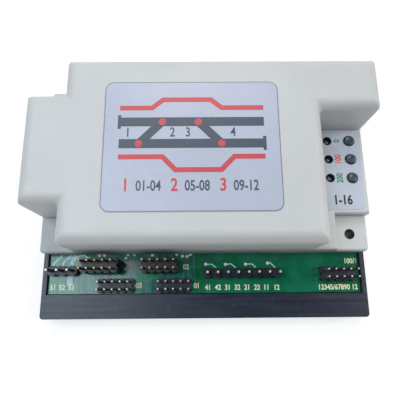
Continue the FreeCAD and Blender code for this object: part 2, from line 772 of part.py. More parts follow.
def square_pin(name, x, y, top, width):
    """A square header pin through the board, with a tapered tip."""
    low = BOARD_UNDER + " - pin_below"
    half = "(%s) / 2" % width
    shaft = box(name + "_shaft", (x + " - " + half, y + " - " + half, low),
                (x + " + " + half, y + " + " + half, "(%s) - pin_tip" % top))
    tip = doc.addObject("Part::Wedge", name + "_tip")
    bind(tip, "Xmin", "-" + half)
    bind(tip, "Xmax", half)
    bind(tip, "Zmin", "-" + half)
    bind(tip, "Zmax", half)
    bind(tip, "X2min", "-" + half + " / 2")
    bind(tip, "X2max", half + " / 2")
    bind(tip, "Z2min", "-" + half + " / 2")
    bind(tip, "Z2max", half + " / 2")
    tip.Ymin = 0
    bind(tip, "Ymax", "pin_tip")
    tip.Placement.Rotation = FreeCAD.Rotation(FreeCAD.Vector(1, 0, 0), 90)
    for axis, text in zip("xyz", (x, y, "(%s) - pin_tip" % top)):
        bind(tip, "Placement.Base." + axis, text)
    return fuse(name, [shaft, tip])


through_board = []


def block_header(tag, label, first_x, middle_y, base_height, above):
    """A two-row header: eight-sided cells on a solid spine, with square pins."""
    pins = []
    cells = []
    top = "%s + %s + %s" % (BOARD_TOP, base_height, above)
    for column in range(int(size("header_columns"))):
        for side in (-1, 1):
            x = "%s + %d * pin_pitch" % (first_x, column)
            y = "%s + %d * pin_pitch / 2" % (middle_y, side)
            name = "%s_%d_%d" % (tag, column, side + 1)
            pins.append(square_pin(name + "_pin", x, y, top, "pin_width"))
            cell = doc.addObject("Part::Prism", name + "_cell")
            cell.Polygon = 8
            bind(cell, "Circumradius", "pin_pitch / 2 / cos(22.5)")
            bind(cell, "Height", base_height)
            cell.Placement.Rotation = FreeCAD.Rotation(FreeCAD.Vector(0, 0, 1), 22.5)
            for axis, text in zip("xyz", (x, y, BOARD_TOP)):
                bind(cell, "Placement.Base." + axis, text)
            cells.append(cell)
    last_x = "%s + %d * pin_pitch" % (first_x, int(size("header_columns")) - 1)
    cells.append(box(tag + "_spine", (first_x, middle_y + " - pin_pitch / 2", BOARD_TOP),
                     (last_x, middle_y + " + pin_pitch / 2", "%s + %s" % (BOARD_TOP, base_height))))
    finish_header(tag, label, pins, cells)


def line_header(tag, label, count, first_x, y):
    """A single-row header with round bases on a wide pitch."""
    pins = []
    cells = []
    top = BOARD_TOP + " + wide_base_height + wide_pin_above"
    for column in range(count):
        x = "%s + %d * wide_pitch" % (first_x, column)
        name = "%s_%d" % (tag, column)
        pins.append(square_pin(name + "_pin", x, y, top, "wide_pin_width"))
        cells.append(cylinder(name + "_cell", (x, y), BOARD_TOP, BOARD_TOP + " + wide_base_height",
                              "wide_base_radius"))
    last_x = "%s + %d * wide_pitch" % (first_x, count - 1)
    cells.append(box(tag + "_spine", (first_x, y + " - wide_spine / 2", BOARD_TOP),
                     (last_x, y + " + wide_spine / 2", BOARD_TOP + " + wide_base_height")))
    finish_header(tag, label, pins, cells)


def finish_header(tag, label, pins, cells):
    """The pins as one node and the insulator, pierced by them, as another."""
    metal = group(tag + "_pins", pins)
    through_board.append(metal)
    node(metal, label + "_pins")
    node(cut(tag + "_base", fuse(tag + "_cells", cells), [metal]), label + "_base")


def headers():
    """All headers on the open front strip."""
    front_x = LEFT + " + front_header_inset"
    rear_x = front_x + " - rear_header_shift"
    step = " + header_step"
    block_header("front_left", "signal_header_1", front_x, FRONT_ROW, "base_height", "pin_above")
    block_header("front_right", "signal_header_2", front_x + step, FRONT_ROW, "base_height", "pin_above")
    block_header("rear_left", "signal_header_3", rear_x, REAR_ROW, "tall_base_height", "pin_above_tall")
    block_header("rear_right", "signal_header_4", rear_x + step, REAR_ROW, "tall_base_height",
                 "pin_above_tall")
    sensor_x = RIGHT + " - sensor_inset - 2 * pin_pitch"
    block_header("sensor", "sensor_header", sensor_x, BOARD_FRONT + " + sensor_row", "base_height",
                 "pin_above")
    line_header("output", "output_header", int(size("output_count")), LEFT + " + output_inset",
                BOARD_FRONT + " + output_row")
    line_header("feed", "track_header", int(size("feed_count")), LEFT + " + feed_inset",
                BOARD_FRONT + " + feed_row")


def network_jacks():
    """Two six-way sockets in the wing, open to the left."""
    face = LEFT + " + cover_wall + jack_gap"
    for place, middle in enumerate(jack_centres(), 1):
        block = box("jack_block_%d" % place, (face, middle + " - jack_width / 2", BOARD_TOP),
                    (face + " + jack_length", middle + " + jack_width / 2", BOARD_TOP + " + jack_height"))
        floor = BOARD_TOP + " + socket_rise"
        socket = box("jack_socket_%d" % place, (face + " - 1", middle + " - socket_width / 2", floor),
                     (face + " + socket_depth", middle + " + socket_width / 2",
                      floor + " + socket_height"))
        latch = box("jack_latch_%d" % place,
                    (face + " - 1", middle + " - latch_width / 2", floor + " - latch_drop"),
                    (face + " + latch_depth", middle + " + latch_width / 2", floor + " + 0.1"))
        node(cut("jack_%d" % place, block, [socket, latch]), "network_jack_%d" % place)
        wires = []
        for wire in range(int(size("contact_count"))):
            y = "%s + (%d - (contact_count - 1) / 2) * contact_pitch" % (middle, wire)
            ceiling = floor + " + socket_height"
            wires.append(box("jack_wire_%d_%d" % (place, wire),
                             (face + " + socket_depth - contact_length", y + " - contact_width / 2",
                              ceiling + " - contact_width"),
                             (face + " + socket_depth", y + " + contact_width / 2", ceiling)))
        node(group("wires_%d" % place, wires), "jack_contacts_%d" % place)


def power_jack():
    """The supply socket in the right rear block, with its centre pin."""
    face = RIGHT + " - cover_wall - jack_gap"
    y = REAR + " - supply_setback"
    z = BOARD_TOP + " + supply_rise"
    block = box("supply_block", (face + " - supply_length", y + " - supply_width / 2", BOARD_TOP),
                (face, y + " + supply_width / 2", BOARD_TOP + " + supply_height"))
    bore = bar_along_x("supply_bore", face + " - supply_bore_depth", face + " + 1", y, z,
                       "supply_bore_radius")
    node(cut("supply", block, [bore]), "power_jack")
    node(bar_along_x("supply_pin", face + " - supply_bore_depth", face + " - supply_pin_setback", y, z,
                     "supply_pin_radius"), "power_jack_pin")


def chip(name, centre, length, width):
    """A moulded chip body a little above the board, with an end notch."""
    x, y = centre
    low = BOARD_TOP + " + chip_lift"
    block = box(name + "_block", (x + " - (%s) / 2" % length, y + " - (%s) / 2" % width, low),
                (x + " + (%s) / 2" % length, y + " + (%s) / 2" % width, low + " + chip_height"))
    notch = cylinder(name + "_notch", (x + " - (%s) / 2" % length, y), low + " + chip_height - notch_depth",
                     low + " + chip_height + 1", "notch_radius")
    return cut(name, block, [notch])


def chip_leads(name, centre, width, per_side):
    """Straight legs down both long sides of a chip and through the board."""
    legs = []
    for place in range(per_side):
        for side in (-1, 1):
            x = "%s + (%d - %s) * lead_pitch" % (centre[0], place, (per_side - 1) / 2)
            y = "%s + %d * ((%s) / 2 + chip_lead_thick / 2)" % (centre[1], side, width)
            legs.append(box("%s_%d_%d" % (name, place, side + 1),
                            (x + " - lead_width / 2", y + " - chip_lead_thick / 2",
                             BOARD_UNDER + " - pin_below"),
                            (x + " + lead_width / 2", y + " + chip_lead_thick / 2",
                             BOARD_TOP + " + chip_lift + chip_height / 2")))
    return legs


def chips():
    """The processor and the four output drivers in a row in front of it."""
    middle = (PROCESSOR_LEFT + " + processor_length / 2", CHIP_ROW + " + chip_row_step")
    node(chip("processor_chip", middle, "processor_length", "processor_width"), "processor")
    legs = chip_leads("processor_leg", middle, "processor_width", int(size("processor_leads_per_side")))
    through_board.append(node(group("processor_legs", legs), "processor_leads"))
    legs = []
    for place in range(int(size("driver_count"))):
        centre = (PROCESSOR_LEFT + " + (%d + 0.5) * driver_step" % place, CHIP_ROW)
        node(chip("driver_%d" % place, centre, "driver_length", "driver_width"),
             "driver_chip_%d" % (place + 1))
        legs += chip_leads("driver_leg_%d" % place, centre, "driver_width",
                           int(size("driver_leads_per_side")))
    through_board.append(node(group("driver_legs", legs), "driver_leads"))


def capacitors():
    """Two upright supply capacitors with rolled-over top edges."""
    for place in range(2):
        centre = (PANEL_LEFT + " - cover_wall - capacitor_inset - capacitor_radius",
                  "%s - %d * capacitor_step" % (CAPACITOR_REAR, place))
        top = BOARD_TOP + " + capacitor_height"
        can = cylinder("capacitor_can_%d" % place, centre, BOARD_TOP, top + " - capacitor_bevel",
                       "capacitor_radius")
        crown = cone("capacitor_crown_%d" % place, centre, top + " - capacitor_bevel", top,
                     "capacitor_radius", "capacitor_radius - capacitor_bevel")
        node(fuse("capacitor_%d" % place, [can, crown]), "filter_capacitor_%d" % (place + 1))


def regulator_and_sink():
    """The supply regulator screwed to a finned heat sink."""
    x = PANEL_LEFT + " - sink_inset"
    back = REAR + " - cover_wall - sink_depth - sink_gap"
    plate = box("sink_plate_block", (x + " - sink_width / 2", back, BOARD_TOP),
                (x + " + sink_width / 2", back + " + sink_plate", BOARD_TOP + " + sink_height"))
    fins = []
    for place in range(int(size("sink_fins"))):
        left = "%s - sink_width / 2 + %d * (sink_width - sink_fin) / (sink_fins - 1)" % (x, place)
        fins.append(box("sink_fin_%d" % place, (left, back + " + sink_plate - 0.1", BOARD_TOP),
                        (left + " + sink_fin", back + " + sink_depth", BOARD_TOP + " + sink_height")))
    foot = BOARD_TOP + " + regulator_lift"
    screw_z = foot + " + tab_height - screw_head_radius"
    hole = bar_along_y("sink_hole", back + " - 1", back + " + sink_plate + 1", x, screw_z,
                       SCREW_HOLE)
    node(cut("sink", fuse("sink_solid", [plate] + fins), [hole]), "heat_sink")
    tab = box("tab_block", (x + " - tab_width / 2", back + " - tab_thick", foot),
              (x + " + tab_width / 2", back, foot + " + tab_height"))
    tab_hole = bar_along_y("tab_hole", back + " - tab_thick - 1", back + " + 1", x, screw_z,
                           SCREW_HOLE)
    node(cut("tab", tab, [tab_hole]), "regulator_tab")
    front = back + " - tab_thick"
    case = box("regulator_case", (x + " - tab_width / 2", front + " - regulator_thick", foot),
               (x + " + tab_width / 2", front, foot + " + regulator_height"))
    legs = [box("regulator_leg_%d" % place,
                ("%s + %d * lead_pitch - lead_width / 2" % (x, place),
                 front + " - regulator_lead_gap - lead_width", BOARD_UNDER + " - pin_below"),
                ("%s + %d * lead_pitch + lead_width / 2" % (x, place), front + " - regulator_lead_gap",
                 foot + " + 0.2")) for place in (-1, 0, 1)]
    through_board.extend(legs)
    node(fuse("regulator_whole", [case] + legs), "regulator")
    head = bar_along_y("sink_screw_head", front + " - screw_head_height", front, x, screw_z,
                       "screw_head_radius")
    shank = bar_along_y("sink_screw_shank", front + " - 0.5",
                        back + " + sink_plate + sink_screw_end", x, screw_z, "screw_radius")
    node(fuse("sink_screw_whole", [head, shank]), "heat_sink_screw")


def small_parts():
    """The bridge rectifier, the crystal and a row of chip resistors."""
    x = PROCESSOR_LEFT + " + bridge_length / 2 + chip_gap"
    y = CHIP_ROW + " + 2 * chip_row_step + bridge_thick / 2"
    node(box("bridge", (x + " - bridge_length / 2", y + " - bridge_thick / 2", BOARD_TOP),
             (x + " + bridge_length / 2", y + " + bridge_thick / 2", BOARD_TOP + " + bridge_height")),
         "bridge_rectifier")
    x = PROCESSOR_LEFT + " + processor_length + 2 * chip_gap + crystal_length / 2"
    y = CHIP_ROW + " + chip_row_step"
    case = doc.addObject("PartDesign::Body", "crystal_body")
    block = pad(case, "crystal_solid",
                rectangle(x + " - crystal_length / 2", x + " + crystal_length / 2",
                          y + " - crystal_width / 2", y + " + crystal_width / 2"),
                BOARD_TOP, BOARD_TOP + " + crystal_height")
    rounded(case, block, "crystal_ends", upright(BOARD_TOP, BOARD_TOP + " + crystal_height"),
            "crystal_width / 2 - 0.1")
    node(case, "crystal")
    row = []
    for place in range(int(size("resistor_count"))):
        left = "%s + chip_gap + %d * resistor_step" % (PROCESSOR_LEFT, place)
        front = CHIP_ROW + " - driver_width / 2 - resistor_width - 2 * chip_gap"
        row.append(box("resistor_%d" % place, (left, front, BOARD_TOP),
                       (left + " + resistor_length", front + " + resistor_width",
                        BOARD_TOP + " + resistor_height")))
    node(group("resistors", row), "chip_resistors")


def circuit_board():
    """The board on the tray's bosses, pierced for pins, posts and screws."""
    blank = box("board_blank",
                (LEFT + " + rim_wall + board_gap", BOARD_FRONT, BOARD_UNDER),
                (RIGHT + " - rim_wall - board_gap", REAR + " - rim_wall - board_gap", BOARD_TOP))
    holes = [cylinder("board_mount_hole_%d" % place, centre, "0", "ledge_top",
                      "mount_boss_radius - mount_boss_step + board_gap")
             for place, centre in enumerate(MOUNT_PLACES)]
    holes += [cylinder("board_screw_hole_%d" % place, centre, "0", "ledge_top",
                       SCREW_HOLE + " + board_gap")
              for place, centre in enumerate(SCREW_PLACES)]
    board = cut("board_holed", blank, holes)
    node(cut("board", board, [group("board_pins", through_board)]), "circuit_board")


def check(things):
    """Stops if any object of the document failed or a sub-part is not a sound shape."""
    for thing in doc.Objects:
        faults = [word for word in thing.State if word in ("Invalid", "Error")]
        if faults:
            raise RuntimeError("%s: %s" % (thing.Label, faults))
    for thing in things:
        if thing.Shape.isNull() or not thing.Shape.isValid() or not thing.Shape.Solids:
            raise RuntimeError("%s: bad shape" % thing.Label)


base_tray()
rubber_feet()
top_cover()
cover_screws()
labels()
push_switches()
lamps()
through_board.extend(thing for thing in nodes if thing.Label in ("switch_terminals", "lamp_leads"))
headers()
network_jacks()
power_jack()
chips()
capacitors()
regulator_and_sink()
small_parts()
circuit_board()
doc.recompute()
check(nodes)
os.makedirs("parts", exist_ok=True)
for thing in nodes:
    thing.Shape.exportStep("parts/%s.step" % thing.Label)
print(len(nodes), "nodes")
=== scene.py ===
# Looks for the railway layout controller: materials on the CAD nodes, printed marks, board detail,
# lights and camera. Metres, in the CAD frame: +X right, +Y rear, +Z up, feet at z = 0.
import json
import math
import bmesh
import bpy
from mathutils import Matrix, Vector


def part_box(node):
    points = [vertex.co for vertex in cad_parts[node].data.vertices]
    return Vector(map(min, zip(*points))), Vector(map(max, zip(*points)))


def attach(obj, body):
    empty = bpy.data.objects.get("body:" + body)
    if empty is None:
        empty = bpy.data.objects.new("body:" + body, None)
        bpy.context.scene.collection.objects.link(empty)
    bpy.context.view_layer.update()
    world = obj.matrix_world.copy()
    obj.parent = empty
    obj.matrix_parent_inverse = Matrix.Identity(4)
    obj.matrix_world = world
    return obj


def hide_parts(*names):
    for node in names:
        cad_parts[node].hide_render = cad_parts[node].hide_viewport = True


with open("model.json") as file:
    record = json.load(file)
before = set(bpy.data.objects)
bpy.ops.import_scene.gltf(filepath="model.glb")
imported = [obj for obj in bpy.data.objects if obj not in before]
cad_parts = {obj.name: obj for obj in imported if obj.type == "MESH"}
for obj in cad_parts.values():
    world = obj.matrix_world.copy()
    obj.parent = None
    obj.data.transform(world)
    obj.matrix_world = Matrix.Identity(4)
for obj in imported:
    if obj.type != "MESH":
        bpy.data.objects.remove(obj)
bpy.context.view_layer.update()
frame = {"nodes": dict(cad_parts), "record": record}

NODES = frame["nodes"]
MM = 0.001
# Sizes and places are in millimetres from here on.
# Where the board's copper plane begins, in x, and how near two points are to be joined.
PLANE_EDGE = -3.5
WELD = 0.0002
# The thickness of printed ink, the length of a pin's top that is painted bright as a highlight, and
# the stretch that fades into it.
INK_STEP = 0.01
LIT_TIP_LENGTH, TIP_BLEND = 0.30, 0.12
# A figure's height as a share of the font's size.
FIGURE_CAP_SHARE = 0.7


# ---------------------------------------------------------------- material helpers

class Paint:
    """A material under construction, with texture places counted in millimetres."""

    def __init__(self, name, roughness=0.5, metallic=0.0, coat=0.0):
        self.material = bpy.data.materials.new(name)
        self.material.use_nodes = True
        self.tree = self.material.node_tree
        self.shader = self.tree.nodes["Principled BSDF"]
        self.shader.inputs["Roughness"].default_value = roughness
        self.shader.inputs["Metallic"].default_value = metallic
        self.shader.inputs["Coat Weight"].default_value = coat
        self.shader.inputs["Coat Roughness"].default_value = 0.08
        coordinates = self.node("ShaderNodeTexCoord")
        scaled = self.node("ShaderNodeVectorMath", operation="SCALE")
        scaled.inputs["Scale"].default_value = 1 / MM
        self.link(coordinates.outputs["Object"], scaled.inputs[0])
        self.place = scaled.outputs[0]

    def node(self, kind, **settings):
        made = self.tree.nodes.new(kind)
        for key, value in settings.items():
            setattr(made, key, value)
        return made

    def link(self, source, target):
        self.tree.links.new(source, target)

    def stretched(self, x, y, z):
        """Texture places squeezed along each axis, for streaks."""
        mapping = self.node("ShaderNodeMapping")
        mapping.inputs["Scale"].default_value = (x, y, z)
        self.link(self.place, mapping.inputs["Vector"])
        return mapping.outputs["Vector"]

    def noise(self, per_mm, detail=3.0, place=None, rough=0.5):
        noise = self.node("ShaderNodeTexNoise")
        noise.inputs["Scale"].default_value = per_mm
        noise.inputs["Detail"].default_value = detail
        noise.inputs["Roughness"].default_value = rough
        self.link(place or self.place, noise.inputs["Vector"])
        return noise.outputs["Fac"]

    def spread(self, source, low, high, start=0.3, end=0.7):
        """A value moved from one range to another."""
        ranged = self.node("ShaderNodeMapRange")
        ranged.inputs["From Min"].default_value = start
        ranged.inputs["From Max"].default_value = end
        ranged.inputs["To Min"].default_value = low
        ranged.inputs["To Max"].default_value = high
        self.link(source, ranged.inputs["Value"])
        return ranged.outputs["Result"]

    def blend(self, factor, first, second):
        """A colour between two others; each is a tuple or a socket."""
        mix = self.node("ShaderNodeMix", data_type="RGBA")
        self.link(factor, mix.inputs["Factor"])
        for socket, colour in ((mix.inputs[6], first), (mix.inputs[7], second)):
            if isinstance(colour, tuple):
                socket.default_value = (*colour, 1.0)
            else:
                self.link(colour, socket)
        return mix.outputs[2]

    def colour(self, source):
        self.link(source, self.shader.inputs["Base Color"])

    def roughness(self, source):
        self.link(source, self.shader.inputs["Roughness"])

    def bump(self, heights):
        """Chained bumps: a list of (source, depth in mm)."""
        normal = None
        for source, depth in heights:
            bump = self.node("ShaderNodeBump")
            bump.inputs["Distance"].default_value = depth * MM
            bump.inputs["Strength"].default_value = 1.0
            self.link(source, bump.inputs["Height"])
            if normal:
                self.link(normal, bump.inputs["Normal"])
            normal = bump.outputs["Normal"]
        self.link(normal, self.shader.inputs["Normal"])


def cover_plastic():
    """Off-white moulded plastic: spark-eroded grain, faint clouding, a little handling polish."""
    paint = Paint("cover_plastic_paint", 0.5)
    cloud = paint.spread(paint.noise(0.045, 4), 0, 1)
    fleck = paint.spread(paint.noise(1.7, 2), 0, 1, 0.62, 0.75)
    clean = paint.blend(cloud, (0.608, 0.618, 0.622), (0.650, 0.660, 0.663))
    paint.colour(paint.blend(fleck, clean, (0.594, 0.604, 0.609)))
    paint.roughness(paint.spread(paint.noise(0.25, 4), 0.42, 0.58))
    paint.bump([(paint.noise(5.0, 3, rough=0.6), 0.012), (paint.noise(0.12, 2), 0.05)])
    return paint.material


def tray_plastic():
    """Blue-black moulded plastic with faint lengthwise drag marks and scuffs."""
    paint = Paint("tray_plastic_paint", 0.38)
    streak = paint.noise(0.9, 4, paint.stretched(0.06, 1.0, 1.0))
    scuff = paint.spread(paint.noise(0.35, 5), 0, 1, 0.56, 0.72)
    base = paint.blend(paint.spread(streak, 0, 1), (0.012, 0.018, 0.036), (0.019, 0.027, 0.050))
    paint.colour(paint.blend(scuff, base, (0.028, 0.036, 0.060)))
    paint.roughness(paint.spread(streak, 0.29, 0.41))
    paint.bump([(paint.noise(4.0, 3), 0.008), (streak, 0.006)])
    return paint.material


def board_mask():
    """Solder mask: bright over the copper plane at the right, teal over fine tracks at the left."""
    paint = Paint("board_mask_paint", 0.2, coat=0.25)
    split = paint.node("ShaderNodeSeparateXYZ")
    paint.link(paint.place, split.inputs[0])
    plane = paint.spread(split.outputs["X"], 0, 1, PLANE_EDGE - 0.05, PLANE_EDGE + 0.05)
    mottle = paint.spread(paint.noise(0.9, 4), 0, 1)
    shade = paint.spread(paint.noise(0.16, 3), 0, 1)
    bright = paint.blend(mottle, (0.0008, 0.155, 0.058), (0.0014, 0.200, 0.078))
    bright = paint.blend(shade, bright, (0.0010, 0.140, 0.068))
    # Low, brighter cyan patches: a painted reflection, the hazy sheen of the light on the glossy
    # mask.
    painted_sheen = paint.spread(paint.noise(0.07, 3), 0, 0.8, 0.50, 0.66)
    bright = paint.blend(painted_sheen, bright, (0.014, 0.225, 0.135))
    tracks = paint.spread(paint.noise(1.9, 2, paint.stretched(1.0, 0.05, 1.0)), 0, 1, 0.50, 0.56)
    patch = paint.spread(paint.noise(0.13, 2), 0, 1, 0.45, 0.55)
    plain = paint.blend(mottle, (0.006, 0.215, 0.120), (0.010, 0.265, 0.150))
    lined = paint.blend(tracks, (0.008, 0.130, 0.110), (0.028, 0.240, 0.200))
    paint.colour(paint.blend(plane, paint.blend(patch, lined, plain), bright))
    weave = paint.node("ShaderNodeTexChecker")
    weave.inputs["Scale"].default_value = 2.2
    paint.link(paint.place, weave.inputs["Vector"])
    paint.roughness(paint.spread(paint.noise(0.6, 4), 0.10, 0.22))
    paint.bump([(weave.outputs["Fac"], 0.002), (tracks, 0.004), (paint.noise(0.5, 2), 0.010)])
    return paint.material


def label_film(name, first, second):
    """Printed polyester film: even tint, faint print screen and a soft gloss."""
    paint = Paint(name, 0.32)
    screen = paint.node("ShaderNodeTexVoronoi")
    screen.inputs["Scale"].default_value = 3.0
    paint.link(paint.place, screen.inputs["Vector"])
    tint = paint.blend(paint.spread(paint.noise(0.05, 3), 0, 1), first, second)
    darker = tuple(channel * 0.96 for channel in first)
    dots = paint.spread(screen.outputs["Distance"], 1, 0, 0.0, 0.35)
    paint.colour(paint.blend(dots, tint, darker))
    paint.roughness(paint.spread(paint.noise(0.4, 3), 0.26, 0.40))
    paint.bump([(paint.noise(0.15, 2), 0.012), (paint.noise(6.0, 2), 0.001)])
    return paint.material


def ink(name, colour, roughness=0.35):
    """Screen-printed ink with slightly uneven cover."""
    paint = Paint(name, roughness)
    thin = tuple(min(1.0, channel * 1.35 + 0.01) for channel in colour)
    paint.colour(paint.blend(paint.spread(paint.noise(3.5, 3), 0, 0.6), colour, thin))
    paint.roughness(paint.spread(paint.noise(2.0, 3), roughness - 0.06, roughness + 0.08))
    paint.bump([(paint.noise(5.0, 2), 0.002)])
    return paint.material


def hard_black(name, first, second, low, high, grain=3.0):
    """Black moulded plastic: nylon, epoxy or ABS by its colours and gloss."""
    paint = Paint(name, (low + high) / 2)
    paint.colour(paint.blend(paint.spread(paint.noise(0.8, 4), 0, 1), first, second))
    paint.roughness(paint.spread(paint.noise(1.5, 3), low, high))
    paint.bump([(paint.noise(grain, 3), 0.006)])
    return paint.material


def plated(name, first, second, low=0.18, high=0.38):
    """Plated metal with draw marks along the pin and dull patches."""
    paint = Paint(name, 0.28, metallic=1.0)
    drawn = paint.noise(6.0, 3, paint.stretched(1.0, 1.0, 0.12))
    paint.colour(paint.blend(paint.spread(paint.noise(1.1, 4), 0, 1), first, second))
    paint.roughness(paint.spread(drawn, low, high))
    paint.bump([(drawn, 0.003)])
    return paint.material


def pin_plate(name, tip_height, stem, tip):
    """A header pin: a stem painted dark as shade, and a top painted bright and less metallic as a
    highlight on the sheared tip.
    """
    paint = Paint(name, 0.35, metallic=1.0)
    split = paint.node("ShaderNodeSeparateXYZ")
    paint.link(paint.place, split.inputs[0])
    tip_foot = tip_height - LIT_TIP_LENGTH
    # The top of each pin, chosen by height, takes the painted highlight.
    tip_highlight = paint.spread(split.outputs["Z"], 0, 1, tip_foot - TIP_BLEND, tip_foot)
    drawn = paint.noise(6.0, 3, paint.stretched(1.0, 1.0, 0.12))
    # The stem colour is painted shade, with random darker patches.
    dull = tuple(channel * 0.7 for channel in stem)
    worn_stem_shade = paint.blend(paint.spread(paint.noise(1.1, 4), 0, 1), stem, dull)
    paint.colour(paint.blend(tip_highlight, worn_stem_shade, tip))
    paint.link(paint.spread(tip_highlight, 1.0, 0.25, 0, 1), paint.shader.inputs["Metallic"])
    paint.roughness(paint.spread(drawn, 0.22, 0.42))
    paint.bump([(drawn, 0.003)])
    return paint.material


def lamp_resin():
    """Dark unlit lamp: tinted resin, glossy, with a paler core."""
    paint = Paint("lamp_resin_paint", 0.12, coat=0.6)
    core = paint.spread(paint.noise(0.9, 2), 0, 1)
    paint.colour(paint.blend(core, (0.060, 0.074, 0.078), (0.105, 0.130, 0.128)))
    paint.roughness(paint.spread(paint.noise(2.0, 2), 0.08, 0.2))
    paint.bump([(paint.noise(1.0, 2), 0.01)])
    return paint.material


def rubber():
    """Soft matt rubber with dust in its grain."""
    paint = Paint("foot_rubber_paint", 0.85)
    dust = paint.spread(paint.noise(2.2, 5), 0, 1, 0.5, 0.8)
    paint.colour(paint.blend(dust, (0.020, 0.020, 0.021), (0.065, 0.063, 0.060)))
    paint.roughness(paint.spread(paint.noise(1.0, 3), 0.75, 0.95))
    paint.bump([(paint.noise(3.0, 4), 0.03)])
    return paint.material


def dress_nodes():
    """One material for each of the record's slots, set on every CAD node of that slot."""
    paints = {
        "tray_plastic": tray_plastic(),
        "cover_plastic": cover_plastic(),
        "board_green": board_mask(),
        "label_print": label_film("panel_film_paint", (0.53, 0.58, 0.67), (0.58, 0.63, 0.72)),
        "button_plastic": hard_black("button_plastic_paint", (0.042, 0.058, 0.076),
                                     (0.062, 0.082, 0.102), 0.26, 0.40),
        "lamp_resin": lamp_resin(),
        "nylon_black": hard_black("nylon_black_paint", (0.005, 0.007, 0.016),
                                  (0.012, 0.016, 0.030), 0.30, 0.46),
        "tin_plate": plated("tin_plate_paint", (0.72, 0.72, 0.73), (0.84, 0.83, 0.82)),
        "gold_plate": plated("gold_plate_paint", (0.80, 0.52, 0.18), (0.90, 0.66, 0.30)),
        "stamped_steel": plated("stamped_steel_paint", (0.52, 0.53, 0.55), (0.66, 0.66, 0.67)),
        "chip_black": hard_black("chip_black_paint", (0.018, 0.018, 0.020),
                                 (0.036, 0.036, 0.038), 0.45, 0.65, 6.0),
        "can_sleeve": hard_black("can_sleeve_paint", (0.012, 0.018, 0.055),
                                 (0.020, 0.028, 0.080), 0.15, 0.30, 1.0),
        "sink_aluminium": plated("sink_aluminium_paint", (0.25, 0.26, 0.28), (0.36, 0.37, 0.39),
                                 0.35, 0.55),
        "screw_steel": plated("screw_steel_paint", (0.48, 0.48, 0.46), (0.62, 0.61, 0.58)),
        "foot_rubber": rubber(),
    }
    for row in frame["record"]["subparts"]:
        mesh = NODES[row["node"]].data
        mesh.materials.clear()
        mesh.materials.append(paints[row["material_slot"]])
    dress_pins()
    return paints


def dress_pins():
    """Header pins get their own plate, because each kind ends at its own height."""
    # Each kind: its nodes, a stem colour darkened as painted shade, and a tip colour brightened as
    # a painted highlight.
    kinds = (
        ("tin_pin", ("signal_header_1_pins", "signal_header_2_pins", "sensor_header_pins"),
         (0.30, 0.31, 0.34), (0.95, 0.95, 0.97)),
        ("gold_pin", ("signal_header_3_pins", "signal_header_4_pins"),
         (0.26, 0.15, 0.05), (0.98, 0.72, 0.30)),
        ("tin_post", ("output_header_pins", "track_header_pins"),
         (0.34, 0.35, 0.38), (0.92, 0.92, 0.94)),
    )
    for name, nodes, stem, tip in kinds:
        tip_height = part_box(nodes[0])[1].z / MM
        plate = pin_plate(name + "_paint", tip_height, stem, tip)
        for node in nodes:
            mesh = NODES[node].data
            mesh.materials.clear()
            mesh.materials.append(plate)


# ---------------------------------------------------------------- mesh helpers

def prism(shape, outline, low, high):
    """Adds an upright prism over a closed outline of (x, y) points in millimetres."""
    bottom = [shape.verts.new((x * MM, y * MM, low * MM)) for x, y in outline]
    top = [shape.verts.new((x * MM, y * MM, high * MM)) for x, y in outline]
    count = len(outline)
    shape.faces.new(list(reversed(bottom)))
    shape.faces.new(top)
    for place in range(count):
        after = (place + 1) % count
        shape.faces.new((bottom[place], bottom[after], top[after], top[place]))


def finish_shape(name, shape):
    """A mesh from the shape, with its doubled points joined and its faces turned outwards."""
    bmesh.ops.remove_doubles(shape, verts=shape.verts, dist=WELD * MM)
    bmesh.ops.recalc_face_normals(shape, faces=shape.faces)
    mesh = bpy.data.meshes.new(name)
    shape.to_mesh(mesh)
    shape.free()
    return mesh


def add_piece(name, shape, material, body="housing"):
    """Finishes a shape and puts it in the scene, riding on a body."""
    mesh = finish_shape(name, shape)
    piece = bpy.data.objects.new(name, mesh)
    bpy.context.scene.collection.objects.link(piece)
    mesh.materials.append(material)
    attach(piece, body)
    return piece


def arc(centre, radius, start, end, steps):
    """Points on an arc, angles in degrees."""
    turn = [math.radians(start + (end - start) * step / steps) for step in range(steps + 1)]
    return [(centre[0] + radius * math.cos(a), centre[1] + radius * math.sin(a)) for a in turn]


def circle(centre, radius, steps=24):
    """A closed ring of points."""
    return arc(centre, radius, 0, 360 - 360 / steps, steps - 1)


def rounded_box(left, right, front, rear, radius):
    """A rectangle's outline with rounded corners."""
    corners = ((right - radius, rear - radius, 0), (left + radius, rear - radius, 90),
               (left + radius, front + radius, 180), (right - radius, front + radius, 270))
    points = []
    for x, y, start in corners:
        points += arc((x, y), radius, start, start + 90, 8)
    return points


def band(line, width):
    """The outline of a line of even width, with mitred corners."""
    left = []
    right = []
    for place, point in enumerate(line):
        here = Vector(point)
        before = (here - Vector(line[place - 1])).normalized() if place else None
        after = (Vector(line[place + 1]) - here).normalized() if place < len(line) - 1 else None
        before = before or after
        after = after or before
        along = (before + after).normalized()
        across = Vector((-along.y, along.x)) * (width / 2 / max(0.3, along.dot(before)))
        left.append(tuple(here + across))
        right.append(tuple(here - across))
    return left + right[::-1]


def ring(shape, outer, inner, low, high):
    """Adds a flat ring between two outlines that have as many points as each other."""
    rows = [[shape.verts.new((x * MM, y * MM, z * MM)) for x, y in outline]
            for outline, z in ((outer, low), (outer, high), (inner, high), (inner, low))]
    count = len(outer)
    for row in range(4):
        below = rows[row]
        above = rows[(row + 1) % 4]
        for place in range(count):
            after = (place + 1) % count
            shape.faces.new((below[place], below[after], above[after], above[place]))


def middle_of(node):
    """The centre of a node in plan, in millimetres."""
    low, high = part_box(node)
    return Vector(((low.x + high.x) / 2 / MM, (low.y + high.y) / 2 / MM))


